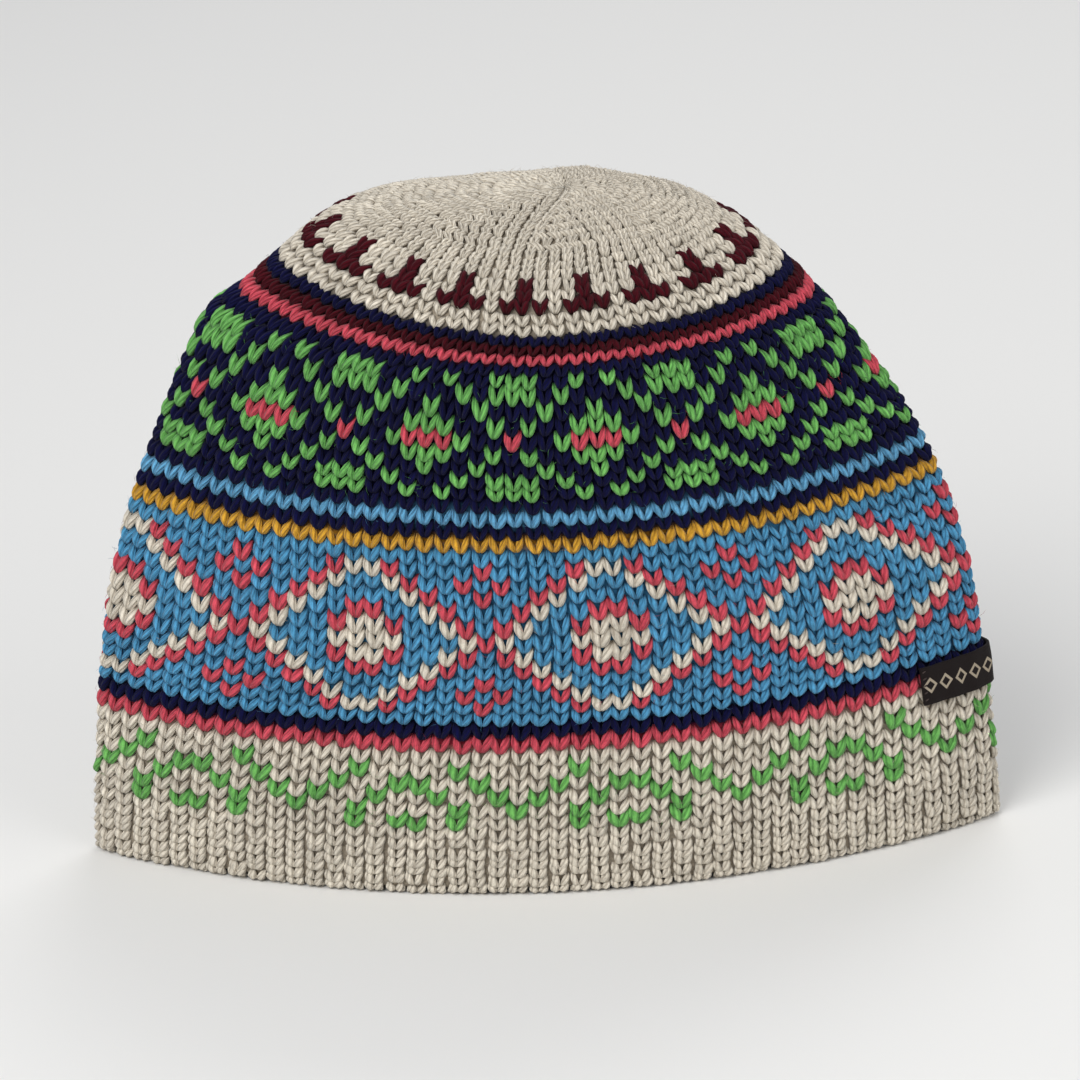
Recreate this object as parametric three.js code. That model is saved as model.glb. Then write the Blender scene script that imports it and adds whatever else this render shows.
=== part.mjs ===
// A knitted alpaca wool hat with a domed crown, standing on its hem.
// Millimetres, +Z up, the origin on the ground under the middle of the hat, the front towards -Y.
import * as THREE from 'three';

// Driving sizes
const hemWidth = 240; // across the hem, from side edge to side edge
const bodyDepth = 114; // front to back where the hat is deepest
const hatHeight = 176; // from the ground to the middle of the crown
const wall = 4.5; // stranded knitting, two yarns thick
const hemRound = 1.2; // rounding of the hem's inner and outer edge
const wedgeCount = 8; // wedges between the decrease lines of the crown
const wedgeFacets = 9; // facets across one wedge
const wedgeGroove = 1; // how far a decrease line is drawn in
const wedgeTurn = -0.08; // from the right side edge to the first decrease line, in radians
const labelLength = 45; // the whole strip, round the side edge
const labelFront = 25; // the part of it on the front, measured from the side edge
const labelHeight = 10.5;
const labelThickness = 1;
const labelStart = 12; // knitted row at the label's lower edge
const labelGap = 0.35; // between the label and the knitting

// The side edges are a fold, where the knitting packs closer: the share by which a sharp one is thicker.
const foldThicker = 0.6;

// The knitted rows at which the crown's decrease lines begin and are drawn in most.
const decreaseStart = 41;
const decreaseFull = 50;

// One line for each level of the knitting, from the hem (row 0) to the middle of the crown.
// front and side: height at the front and at the side edges, as shares of hatHeight.
// wide and deep: shares of half the hemWidth and of half the bodyDepth.
// round: 0 is a lens with sharp side edges, 1 is an ellipse.
// right and back: how far the middle of the level moves, as shares of the same halves.
// leftUp: how much higher its left end is, and lower its right, as a share of hatHeight.
const levels = [
  // row, front, side, wide, deep, round, right, back, leftUp
  [0, 0, 0, 1, 0.76, 0.18, 0, 0, 0],
  [7, 0.107, 0.107, 0.99, 0.79, 0.18, 0, 0, 0],
  [15, 0.275, 0.279, 0.963, 0.835, 0.17, 0, 0, 0],
  [22, 0.421, 0.428, 0.926, 0.87, 0.16, 0, 0, 0.001],
  [28, 0.546, 0.557, 0.87, 0.9, 0.16, 0.002, 0, 0.004],
  [32, 0.628, 0.643, 0.816, 0.93, 0.18, 0.002, 0, 0.008],
  [36, 0.716, 0.733, 0.748, 0.965, 0.26, -0.008, 0, 0.012],
  [40, 0.803, 0.821, 0.672, 0.995, 0.36, -0.014, 0, 0.017],
  [42, 0.839, 0.859, 0.61, 1, 0.44, 0.002, 0, 0.019],
  [45, 0.88, 0.905, 0.535, 0.955, 0.6, 0.012, 0.005, 0.018],
  [48, 0.921, 0.945, 0.46, 0.86, 0.8, 0.012, 0.014, 0.015],
  [51, 0.953, 0.973, 0.377, 0.7, 0.95, 0.02, 0.03, 0.011],
  [55, 0.979, 0.99, 0.29, 0.505, 1, 0.036, 0.045, 0.006],
  [59, 0.993, 0.997, 0.198, 0.33, 1, 0.058, 0.05, 0.003],
  [63, 0.999, 1, 0.093, 0.155, 1, 0.08, 0.045, 0.001],
  [66, 1, 1, 0, 0, 1, 0.088, 0.04, 0],
];
const lastRow = levels.at(-1)[0];
const betweenLevels = new THREE.CubicInterpolant(
  levels.map((level) => level[0]),
  levels.flatMap((level) => level.slice(1)),
  levels[0].length - 1,
);

// The outline of the outer surface at any row of the knitting, in millimetres.
function outlineAt(row) {
  const [front, side, wide, deep, round, right, back, leftUp] = betweenLevels.evaluate(row);
  return {
    frontZ: front * hatHeight,
    sideZ: side * hatHeight,
    halfWidth: (wide * hemWidth) / 2,
    halfDepth: (deep * bodyDepth) / 2,
    round: Math.min(round, 1),
    right: (right * hemWidth) / 2,
    back: (back * bodyDepth) / 2,
    leftUp: leftUp * hatHeight,
  };
}

// How much a wall of this thickness takes off the half width at a side edge.
function foldInset(outline, inset) {
  return inset * (1 + foldThicker * (1 - outline.round));
}

// The outline at a row, moved square to the surface and inwards.
function insetOutlineAt(row, inset) {
  const here = outlineAt(row);
  const below = outlineAt(Math.max(row - 0.5, 0));
  const above = outlineAt(Math.min(row + 0.5, lastRow));
  const rise = (size) => above[size] - below[size];
  const frontRun = new THREE.Vector2(rise('halfDepth'), rise('frontZ')).normalize();
  const sideRun = new THREE.Vector2(rise('halfWidth'), rise('sideZ')).normalize();
  const sideInset = foldInset(here, inset);
  return {
    ...here,
    halfDepth: here.halfDepth - inset * frontRun.y,
    frontZ: here.frontZ + inset * frontRun.x,
    halfWidth: here.halfWidth - sideInset * sideRun.y,
    sideZ: here.sideZ + sideInset * sideRun.x,
  };
}

// The hem's outline, moved inwards and set at a height.
function hemOutline(inset, height) {
  const hem = outlineAt(0);
  return {
    ...hem,
    halfDepth: hem.halfDepth - inset,
    halfWidth: hem.halfWidth - foldInset(hem, inset),
    frontZ: height,
    sideZ: height,
  };
}

// A point of an outline. The turn is 0 at the right side edge and a quarter turn at the back.
function pointOn(outline, turn) {
  const across = Math.cos(turn);
  const rise = Math.sin(turn) ** 2;
  const depth = Math.sqrt((1 - outline.round) * rise * rise + outline.round * rise);
  return new THREE.Vector3(
    outline.right + outline.halfWidth * across,
    outline.back + outline.halfDepth * depth * Math.sign(Math.sin(turn)),
    THREE.MathUtils.lerp(outline.frontZ, outline.sideZ, across * across) - outline.leftUp * across,
  );
}

// A point above the knitting's outer surface, square to it.
function pointAbove(row, turn, clearance) {
  const step = 0.05;
  const along = pointOn(outlineAt(row), turn + step).sub(pointOn(outlineAt(row), turn - step));
  const up = pointOn(outlineAt(row + step), turn).sub(pointOn(outlineAt(row - step), turn));
  const outwards = along.cross(up).normalize();
  return pointOn(outlineAt(row), turn).addScaledVector(outwards, clearance);
}

// The rows at which a wall has a ring of points, closer together towards the crown.
function ringRows(bodyStep, crownStep) {
  const rows = [];
  for (let row = bodyStep / 2; row < decreaseStart; row += bodyStep) rows.push(row);
  for (let row = decreaseStart; row < lastRow - crownStep / 2; row += crownStep) rows.push(row);
  return rows;
}

// One ring of points, turned with the decrease lines and drawn in where they run.
function ring(outline, row, groove) {
  const facets = wedgeCount * wedgeFacets;
  const drawn = THREE.MathUtils.smoothstep(row, decreaseStart, decreaseFull);
  const fade = 1 - THREE.MathUtils.smoothstep(row, decreaseFull, lastRow);
  const points = [];
  for (let facet = 0; facet < facets; facet += 1) {
    const point = pointOn(outline, wedgeTurn * drawn + (2 * Math.PI * facet) / facets);
    if (facet % wedgeFacets === 0) point.z -= groove * drawn * fade;
    points.push(point);
  }
  return points;
}

// A closed skin over rings of points, from one pole to the other, with its faces outwards.
function skinOver(firstPole, rings, lastPole) {
  const count = rings[0].length;
  const points = [firstPole, ...rings.flat(), lastPole];
  const last = points.length - 1;
  const at = (ringIndex, facet) => 1 + ringIndex * count + (facet % count);
  const faces = [];
  for (let facet = 0; facet < count; facet += 1) {
    faces.push(0, at(0, facet), at(0, facet + 1));
    for (let upper = 0; upper < rings.length - 1; upper += 1) {
      faces.push(at(upper + 1, facet), at(upper + 1, facet + 1), at(upper, facet + 1));
      faces.push(at(upper + 1, facet), at(upper, facet + 1), at(upper, facet));
    }
    faces.push(last, at(rings.length - 1, facet + 1), at(rings.length - 1, facet));
  }
  return geometryOf(points, faces);
}

function geometryOf(points, faces) {
  const geometry = new THREE.BufferGeometry().setFromPoints(points);
  geometry.setIndex(faces);
  geometry.computeVertexNormals();
  return geometry;
}

// The whole hat: down the outer surface, round the hem and up the inner surface.
function knitShell() {
  const outer = ringRows(3, 1.75).map((row) => ring(outlineAt(row), row, wedgeGroove));
  const inner = ringRows(4, 2.5).map((row) => ring(insetOutlineAt(row, wall), row, 0));
  const soft = hemRound * (1 - Math.SQRT1_2);
  const hem = [
    hemOutline(0, hemRound),
    hemOutline(soft, soft),
    hemOutline(hemRound, 0),
    hemOutline(wall - hemRound, 0),
    hemOutline(wall - soft, soft),
    hemOutline(wall, hemRound),
  ].map((outline) => ring(outline, 0, 0));
  const middle = outlineAt(lastRow);
  const top = new THREE.Vector3(middle.right, middle.back, middle.frontZ);
  const underTop = new THREE.Vector3(middle.right, middle.back, middle.frontZ - wall);
  return skinOver(top, [...outer.reverse(), ...hem, ...inner], underTop);
}

// The turn at a distance along a row from the right side edge, positive towards the back.
function turnAt(row, distance) {
  const outline = outlineAt(row);
  const step = 0.004 * Math.sign(distance);
  let turn = 0;
  let walked = 0;
  while (walked < Math.abs(distance)) {
    walked += pointOn(outline, turn + step).distanceTo(pointOn(outline, turn));
    turn += step;
  }
  return turn;
}

// The label: a strip that lies on the knitting and goes round the side edge.
function wovenLabel() {
  const acrossSteps = 20;
  const upSteps = 3;
  const rowPitch = outlineAt(labelStart + 1).frontZ - outlineAt(labelStart).frontZ;
  const sheet = (clearance) => {
    const points = [];
    for (let up = 0; up <= upSteps; up += 1) {
      for (let across = 0; across <= acrossSteps; across += 1) {
        const row = labelStart + ((labelHeight / rowPitch) * up) / upSteps;
        const distance = (labelLength * across) / acrossSteps - labelFront;
        points.push(pointAbove(row, distance === 0 ? 0 : turnAt(labelStart, distance), clearance));
      }
    }
    return points;
  };
  const under = sheet(labelGap);
  const points = [...under, ...sheet(labelGap + labelThickness)];
  const at = (side, up, across) => side * under.length + up * (acrossSteps + 1) + across;
  const faces = [];
  const quad = (...corners) => faces.push(...[0, 1, 2, 0, 2, 3].map((corner) => corners[corner]));
  for (let up = 0; up < upSteps; up += 1) {
    for (let across = 0; across < acrossSteps; across += 1) {
      const next = across + 1;
      quad(at(1, up, across), at(1, up, next), at(1, up + 1, next), at(1, up + 1, across));
      quad(at(0, up, across), at(0, up + 1, across), at(0, up + 1, next), at(0, up, next));
    }
    const end = acrossSteps;
    quad(at(0, up, 0), at(1, up, 0), at(1, up + 1, 0), at(0, up + 1, 0));
    quad(at(1, up, end), at(0, up, end), at(0, up + 1, end), at(1, up + 1, end));
  }
  for (let across = 0; across < acrossSteps; across += 1) {
    const next = across + 1;
    quad(at(0, 0, across), at(0, 0, next), at(1, 0, next), at(1, 0, across));
    quad(at(1, upSteps, across), at(1, upSteps, next), at(0, upSteps, next), at(0, upSteps, across));
  }
  return geometryOf(points, faces);
}

const wool = new THREE.MeshStandardMaterial({ color: 0xc4baa5, roughness: 0.95, metalness: 0 });
wool.flatShading = true;
const ribbon = new THREE.MeshStandardMaterial({ color: 0x1c1512, roughness: 0.75, metalness: 0 });

const hat = new THREE.Group();
for (const [name, geometry, material] of [
  ['knit_shell', knitShell(), wool],
  ['label', wovenLabel(), ribbon],
]) {
  const mesh = new THREE.Mesh(geometry, material);
  mesh.name = name;
  hat.add(mesh);
}

export default hat;
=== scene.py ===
import math

import bpy
import numpy as np
from mathutils import Matrix, Vector


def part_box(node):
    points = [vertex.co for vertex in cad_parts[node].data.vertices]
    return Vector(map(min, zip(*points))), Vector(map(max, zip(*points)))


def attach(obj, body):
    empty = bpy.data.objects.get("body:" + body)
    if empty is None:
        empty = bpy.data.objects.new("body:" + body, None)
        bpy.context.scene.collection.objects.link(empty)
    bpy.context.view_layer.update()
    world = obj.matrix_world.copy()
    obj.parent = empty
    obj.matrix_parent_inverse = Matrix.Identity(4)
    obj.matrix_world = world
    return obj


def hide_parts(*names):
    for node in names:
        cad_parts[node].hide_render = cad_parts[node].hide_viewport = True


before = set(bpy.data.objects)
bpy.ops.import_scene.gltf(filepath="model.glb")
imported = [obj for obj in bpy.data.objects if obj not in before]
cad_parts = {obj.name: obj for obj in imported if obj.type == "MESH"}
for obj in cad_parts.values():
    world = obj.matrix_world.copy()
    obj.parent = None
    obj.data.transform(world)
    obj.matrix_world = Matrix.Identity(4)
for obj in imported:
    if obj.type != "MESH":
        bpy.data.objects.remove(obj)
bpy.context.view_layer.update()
dice = np.random.default_rng(11)
print("Frame loaded:", ", ".join(sorted(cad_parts)))

# The hat's form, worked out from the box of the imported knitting. Row 0 is the hem, the last row the crown's
# middle. A turn is 0 at the right side edge, a quarter turn at the back, and minus a quarter turn in front.
hatLow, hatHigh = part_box("knit_shell")
hat = {
    "halfWidth": (hatHigh.x - hatLow.x) / 2,
    "halfDepth": (hatHigh.y - hatLow.y) / 2,
    "height": hatHigh.z - hatLow.z,
    "wall": 0.0045,
    "yarnDepth": 0.0011,  # middle of the yarn, below the outer surface
    "hemRows": 0.8,  # rows that roll round under the hem
    "hemPitch": 0.0027,  # height of one row there
    "unevenness": 0.0005,  # slow rise and fall of the surface
    "lowest": 0.0002,  # the yarn lies flat on the ground below this
    "stretch": (0.5, 49, 56),  # weight of the depth in a stitch's width, and the rows where it fades out
    "middleFades": (38, 44),  # rows over which a row's middle moves from above the hem's to its own
    "leastWide": 0.1,
    "poleGap": 0.02,  # rows left out at the crown's middle, where a row has no length
    "calmRows": (6, 10),  # rows at the hem and in the crown over which the slow waves fade
}

# Shares of the hat's half width, half depth and height, as in the part's own table of levels.
hatLevels = np.array([
    # row, front, side, wide, deep, round, right, back, leftUp
    [0, 0, 0, 1, 0.76, 0.18, 0, 0, 0],
    [7, 0.107, 0.107, 0.99, 0.79, 0.18, 0, 0, 0],
    [15, 0.275, 0.279, 0.963, 0.835, 0.17, 0, 0, 0],
    [22, 0.421, 0.428, 0.926, 0.87, 0.16, 0, 0, 0.001],
    [28, 0.546, 0.557, 0.87, 0.9, 0.16, 0.002, 0, 0.004],
    [32, 0.628, 0.643, 0.816, 0.93, 0.18, 0.002, 0, 0.008],
    [36, 0.716, 0.733, 0.748, 0.965, 0.26, -0.008, 0, 0.012],
    [40, 0.803, 0.821, 0.672, 0.995, 0.36, -0.014, 0, 0.017],
    [42, 0.839, 0.859, 0.61, 1, 0.44, 0.002, 0, 0.019],
    [45, 0.88, 0.905, 0.535, 0.955, 0.6, 0.012, 0.005, 0.018],
    [48, 0.921, 0.945, 0.46, 0.86, 0.8, 0.012, 0.014, 0.015],
    [51, 0.953, 0.973, 0.377, 0.7, 0.95, 0.02, 0.03, 0.011],
    [55, 0.979, 0.99, 0.29, 0.505, 1, 0.036, 0.045, 0.006],
    [59, 0.993, 0.997, 0.198, 0.33, 1, 0.058, 0.05, 0.003],
    [63, 0.999, 1, 0.093, 0.155, 1, 0.08, 0.045, 0.001],
    [66, 1, 1, 0, 0, 1, 0.088, 0.04, 0],
])
levelRows = hatLevels[:, 0]
levelSlopes = np.vstack([
    (hatLevels[1] - hatLevels[0]) / (levelRows[1] - levelRows[0]),
    (hatLevels[2:] - hatLevels[:-2]) / (levelRows[2:] - levelRows[:-2])[:, None],
    (hatLevels[-1] - hatLevels[-2]) / (levelRows[-1] - levelRows[-2]),
])
lastRow = int(levelRows[-1])


def levelAt(row):
    row = np.clip(row, 0, lastRow)
    below = np.clip(np.searchsorted(levelRows, row, side="right") - 1, 0, len(levelRows) - 2)
    span = levelRows[below + 1] - levelRows[below]
    t = ((row - levelRows[below]) / span)[:, None]
    span = span[:, None]
    start, end = hatLevels[below], hatLevels[below + 1]
    rise, fall = levelSlopes[below] * span, levelSlopes[below + 1] * span
    smooth = t * t * (3 - 2 * t)
    return start + (end - start) * smooth + rise * t * (1 - t) ** 2 - fall * t * t * (1 - t)


def surfacePoint(row, turn):
    _, front, side, wide, deep, roundness, right, back, leftUp = levelAt(row).T
    roundness = np.minimum(roundness, 1)
    across = np.cos(turn)
    rise = np.sin(turn) ** 2
    depth = np.sqrt((1 - roundness) * rise * rise + roundness * rise) * np.sign(np.sin(turn))
    x = hat["halfWidth"] * (right + wide * across)
    y = hat["halfDepth"] * (back + deep * depth)
    z = hat["height"] * (front + (side - front) * across ** 2 - leftUp * across)
    return np.stack([x, y, z], axis=1)


probe = {"turn": 0.02, "row": 0.1}  # steps to either side that give the surface's slope


def outwardFrom(row, turn):
    row = np.clip(row, probe["row"], lastRow - probe["row"])
    along = surfacePoint(row, turn + probe["turn"]) - surfacePoint(row, turn - probe["turn"])
    upward = surfacePoint(row + probe["row"], turn) - surfacePoint(row - probe["row"], turn)
    square = np.cross(along, upward)
    return square / np.maximum(np.linalg.norm(square, axis=1, keepdims=True), 1e-12)


# A place along a row is a share of its length, from the middle of the front towards the right.
linesPerRow = 4
turnSteps = 1440
shareSteps = 480
shareRows = np.linspace(0, lastRow, lastRow * linesPerRow + 1)
turnOfShare = np.zeros((len(shareRows), shareSteps + 1))
rowLengths = np.zeros(len(shareRows))
for number, row in enumerate(shareRows):
    _, _, _, wide, _, _, right, _, _ = levelAt(np.array([row]))[0]
    aside = right / max(wide, hat["leastWide"]) * np.interp(row, hat["middleFades"], [1, 0])
    front = -math.acos(-aside)
    turns = np.linspace(front, 2 * math.pi + front, turnSteps + 1)
    places = surfacePoint(np.full(turns.shape, min(row, lastRow - hat["poleGap"])), turns)
    steps = np.diff(places, axis=0)
    flatWeight, flatRow, roundRow = hat["stretch"]
    weight = flatWeight + (1 - flatWeight) * np.clip((row - flatRow) / (roundRow - flatRow), 0, 1)
    walked = np.cumsum(np.sqrt(steps[:, 0] ** 2 + weight * (steps[:, 1] ** 2 + steps[:, 2] ** 2)))
    walked = np.concatenate([[0], walked])
    turnOfShare[number] = np.interp(np.linspace(0, walked[-1], shareSteps + 1), walked, turns)
    rowLengths[number] = np.linalg.norm(steps, axis=1).sum()


def turnAt(row, share):
    whole = np.floor(share)
    line = np.clip(row, 0, lastRow) * linesPerRow
    place = (share - whole) * shareSteps
    low = np.minimum(line.astype(int), len(shareRows) - 2)
    left = np.minimum(place.astype(int), shareSteps - 1)
    up, over = line - low, place - left
    lower = turnOfShare[low, left] * (1 - over) + turnOfShare[low, left + 1] * over
    upper = turnOfShare[low + 1, left] * (1 - over) + turnOfShare[low + 1, left + 1] * over
    return lower * (1 - up) + upper * up + 2 * math.pi * whole


def lengthOfRow(row):
    return np.interp(row, shareRows, rowLengths)


slow = {"waves": (2, 3, 5, 8), "climb": 0.12}  # waves round the hat, and how far a row turns them


def slowWaves(row, share, seed):
    waves = np.random.default_rng(seed)
    total = np.zeros(np.shape(share))
    for count in slow["waves"]:
        phase, climb = waves.uniform(0, 2 * math.pi), waves.uniform(-slow["climb"], slow["climb"])
        total += np.sin(2 * math.pi * count * share + phase + climb * row) / 2
    return total


def onKnit(row, share, height):
    # A place on the knitting, so far above its outer surface; below the hem's rows it goes round the roll.
    turn = turnAt(row, share)
    body = np.maximum(row, hat["hemRows"])
    square = outwardFrom(body, turn)
    place = surfacePoint(body, turn)
    rollRadius = hat["wall"] / 2
    angle = np.minimum(np.maximum(hat["hemRows"] - row, 0) * hat["hemPitch"] / rollRadius, math.pi)
    level = square * [1, 1, 0]
    level /= np.maximum(np.linalg.norm(level, axis=1, keepdims=True), 1e-9)
    middle = place - level * rollRadius
    middle[:, 2] = rollRadius
    rolled = level * np.cos(angle)[:, None] - np.array([0, 0, 1.0]) * np.sin(angle)[:, None]
    rolls = (angle > 0)[:, None]
    place = np.where(rolls, middle + rolled * rollRadius, place)
    square = np.where(rolls, rolled, square)
    low, high = hat["calmRows"]
    calm = np.clip(row / low, 0, 1) * np.clip((lastRow - row) / high, 0, 1)
    height = height + hat["unevenness"] * slowWaves(row, share, 3) * calm
    place = place + square * np.asarray(height)[:, None]
    place[:, 2] = np.maximum(place[:, 2], hat["lowest"])
    return place


print("Hat form ready:", lastRow, "rows")


# Yarns, as eye-matched colours and the darker tone painted as shade deep between the stitches, in the ply
# grooves and where the legs sink.
def linear(*parts):
    return tuple(((part / 255 + 0.055) / 1.055) ** 2.4 for part in parts) + (1.0,)


yarns = {
    "C": {"name": "cream", "colour": linear(222, 213, 196), "deep": linear(126, 110, 90), "sheen": 0.2,
          "grain": 1.5},
    "N": {"name": "navy", "colour": linear(8, 9, 54), "deep": linear(2, 3, 22), "sheen": 0.03},
    "P": {"name": "coral", "colour": linear(208, 78, 92), "deep": linear(110, 22, 36), "sheen": 0.12},
    "B": {"name": "sky", "colour": linear(80, 150, 190), "deep": linear(22, 62, 94), "sheen": 0.12},
    "G": {"name": "green", "colour": linear(112, 180, 92), "deep": linear(32, 84, 36), "sheen": 0.12},
    "Y": {"name": "gold", "colour": linear(208, 156, 50), "deep": linear(104, 60, 12), "sheen": 0.15},
    "W": {"name": "wine", "colour": linear(70, 4, 18), "deep": linear(26, 1, 6), "sheen": 0.03},
    "L": {"name": "light_blue", "colour": linear(98, 162, 200), "deep": linear(26, 62, 94), "sheen": 0.12},
}
yarnKeys = list(yarns)

yarnFinish = {
    "plies": 4.0,
    "twist": 1.1,  # turns of the ply along one leg of a stitch
    "grain": 2.4,  # contrast of the light and dark fibres, where the yarn names none
    "heather": 900.0,  # size of the fine mottling, per metre
    "patches": 45.0,  # size of the slow change of tone, per metre
    "hairsRound": 3.4,  # fibres across one ply
    "hairsAlong": 1.7,
    "shadeTone": 0.22,  # how far one stitch differs in tone from the next
    "mottleTone": 0.5,
    "patchTone": 0.22,
    "groovePaintedShade": 0.55,  # painted shade between the plies
    "paintedShadeDark": 0.75,  # painted shade where the ends of a leg sink, and under the leg
    "darkest": 0.95,
    "bump": 0.85,
    "bumpDepth": 0.0005,
    "roughness": 0.86,
    "specular": 0.12,
}


class NodeBench:
    # Places and joins shader nodes in one tree.
    def __init__(self, tree):
        self.tree = tree
        self.count = 0

    def node(self, kind, settings=None, **inputs):
        made = self.tree.nodes.new(kind)
        made.location = (self.count % 8 * 190, -(self.count // 8) * 260)
        self.count += 1
        for name, value in (settings or {}).items():
            setattr(made, name, value)
        for name, value in inputs.items():
            self.feed(made.inputs[int(name[1:]) if name[0] == "i" and name[1:].isdigit() else name], value)
        return made

    def feed(self, socket, value):
        if isinstance(value, bpy.types.NodeSocket):
            self.tree.links.new(value, socket)
        else:
            socket.default_value = value

    def maths(self, operation, first, second=0.0, third=0.0):
        return self.node("ShaderNodeMath", {"operation": operation}, i0=first, i1=second, i2=third).outputs[0]

    def around(self, share, weight):
        # How far a share stands from a half, times a weight.
        return self.maths("MULTIPLY", self.maths("SUBTRACT", share, 0.5), weight)

    def grey(self, value):
        return self.node("ShaderNodeCombineColor", Red=value, Green=value, Blue=value).outputs[0]

    def noise(self, place, scale, detail, roughness=0.5):
        made = self.node("ShaderNodeTexNoise", Vector=place, Scale=scale, Detail=detail, Roughness=roughness)
        return made.outputs["Fac"]

    def mix(self, factor, first, second, blend="MIX"):
        made = self.node("ShaderNodeMix", {"data_type": "RGBA", "blend_type": blend})
        for place, value in ((0, factor), (6, first), (7, second)):
            self.feed(made.inputs[place], value)
        return made.outputs[2]


def newGroup(name, inputs, outputs):
    tree = bpy.data.node_groups.new(name, "ShaderNodeTree")
    for label, kind, value in inputs:
        socket = tree.interface.new_socket(label, in_out="INPUT", socket_type=kind)
        socket.default_value = value
    for label, kind in outputs:
        tree.interface.new_socket(label, in_out="OUTPUT", socket_type=kind)
    bench = NodeBench(tree)
    return bench, bench.node("NodeGroupInput").outputs, bench.node("NodeGroupOutput").inputs


def woolYarnGroup():
    bench, given, result = newGroup(
        "Wool yarn",
        [
            ("Colour", "NodeSocketColor", (0.5, 0.5, 0.5, 1)),
            ("Painted shade colour", "NodeSocketColor", (0.1, 0.1, 0.1, 1)),
            ("Plies", "NodeSocketFloat", yarnFinish["plies"]),
            ("Twist", "NodeSocketFloat", yarnFinish["twist"]),
            ("Heather", "NodeSocketFloat", yarnFinish["heather"]),
            ("Grain", "NodeSocketFloat", yarnFinish["grain"]),
        ],
        [("Colour", "NodeSocketColor"), ("Roughness", "NodeSocketFloat"), ("Height", "NodeSocketFloat")],
    )
    spot = bench.node("ShaderNodeUVMap", {"uv_map": "yarn"}).outputs[0]
    parts = bench.node("ShaderNodeSeparateXYZ", Vector=spot).outputs
    place = bench.node("ShaderNodeTexCoord").outputs["Object"]
    shade = bench.node("ShaderNodeAttribute", {"attribute_name": "shade"}).outputs["Fac"]
    painted_shade = bench.node("ShaderNodeAttribute", {"attribute_name": "painted_shade"}).outputs["Fac"]
    # the plies wind round the yarn, and the fibres lie along them
    winding = bench.maths("ADD", bench.maths("MULTIPLY", parts[0], given["Plies"]),
                          bench.maths("MULTIPLY", parts[1], given["Twist"]))
    strand = bench.maths("ABSOLUTE", bench.maths("SINE", bench.maths("MULTIPLY", winding, math.pi)))
    groove = bench.maths("POWER", bench.maths("SUBTRACT", 1.0, strand), 1.5)
    across = bench.maths("MULTIPLY", winding, yarnFinish["hairsRound"])
    along = bench.maths("MULTIPLY", parts[1], yarnFinish["hairsAlong"])
    own = bench.maths("MULTIPLY", shade, 37.0)  # a slice of the noise for each stitch
    lie = bench.node("ShaderNodeCombineXYZ", X=across, Y=along, Z=own).outputs[0]
    hairs = bench.noise(lie, 1.0, 4.0, 0.7)
    mottle = bench.noise(place, given["Heather"], 2.0)
    patches = bench.noise(place, yarnFinish["patches"], 1.0)
    # tone: stitches differ a little and the fibres run light and dark; painted shade darkens the grooves, the
    # sunk ends and the undersides
    tone = bench.maths("ADD", bench.around(shade, yarnFinish["shadeTone"]), 1.0)
    tone = bench.maths("ADD", tone, bench.around(hairs, given["Grain"]))
    tone = bench.maths("ADD", tone, bench.around(mottle, yarnFinish["mottleTone"]))
    tone = bench.maths("ADD", tone, bench.around(patches, yarnFinish["patchTone"]))
    toned = bench.mix(1.0, given["Colour"], bench.grey(tone), "MULTIPLY")
    inGrooveShade = bench.maths("MULTIPLY", groove, yarnFinish["groovePaintedShade"])
    inPaintedShade = bench.maths("MULTIPLY", painted_shade, yarnFinish["paintedShadeDark"])
    darkness = bench.maths("MINIMUM", bench.maths("ADD", inGrooveShade, inPaintedShade), yarnFinish["darkest"])
    # painted shade: the grooves, the sunk ends and the undersides mix towards the yarn's deep colour
    bench.feed(result["Colour"], bench.mix(darkness, toned, given["Painted shade colour"]))
    rough = bench.maths("ADD", yarnFinish["roughness"] - 0.06, bench.maths("MULTIPLY", hairs, 0.14))
    bench.feed(result["Roughness"], rough)
    raised = bench.maths("MULTIPLY", strand, 0.7)
    relief = bench.maths("SUBTRACT", raised, bench.maths("MULTIPLY", groove, 0.2))
    bench.feed(result["Height"], bench.maths("ADD", relief, bench.maths("MULTIPLY", hairs, 1.2)))
    return bench.tree


woolYarn = woolYarnGroup()


def newMaterial(name, roughness=0.8, sheen=0.0, specular=0.3):
    made = bpy.data.materials.new(name)
    made.use_nodes = True
    shader = made.node_tree.nodes["Principled BSDF"]
    shader.inputs["Roughness"].default_value = roughness
    shader.inputs["Sheen Weight"].default_value = sheen
    shader.inputs["Sheen Roughness"].default_value = 0.45
    shader.inputs["Specular IOR Level"].default_value = specular
    return made, NodeBench(made.node_tree), shader


def yarnMaterial(key):
    yarn = yarns[key]
    made, bench, shader = newMaterial(yarn["name"] + "_wool", yarnFinish["roughness"], yarn["sheen"],
                                      yarnFinish["specular"])
    group = bench.node("ShaderNodeGroup", {"node_tree": woolYarn})
    values = {
        "Colour": yarn["colour"],
        "Painted shade colour": yarn["deep"],
        "Plies": yarnFinish["plies"],
        "Twist": yarnFinish["twist"],
        "Heather": yarnFinish["heather"],
        "Grain": yarn.get("grain", yarnFinish["grain"]),
    }
    for label, value in values.items():
        group.inputs[label].default_value = value
    bump = bench.node("ShaderNodeBump", Strength=yarnFinish["bump"], Distance=yarnFinish["bumpDepth"],
                      Height=group.outputs["Height"])
    bench.feed(shader.inputs["Base Color"], group.outputs["Colour"])
    bench.feed(shader.inputs["Roughness"], group.outputs["Roughness"])
    bench.feed(shader.inputs["Normal"], bump.outputs["Normal"])
    return made


yarnMaterials = {key: yarnMaterial(key) for key in yarnKeys}
print("Yarn materials ready:", len(yarnMaterials))

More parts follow.
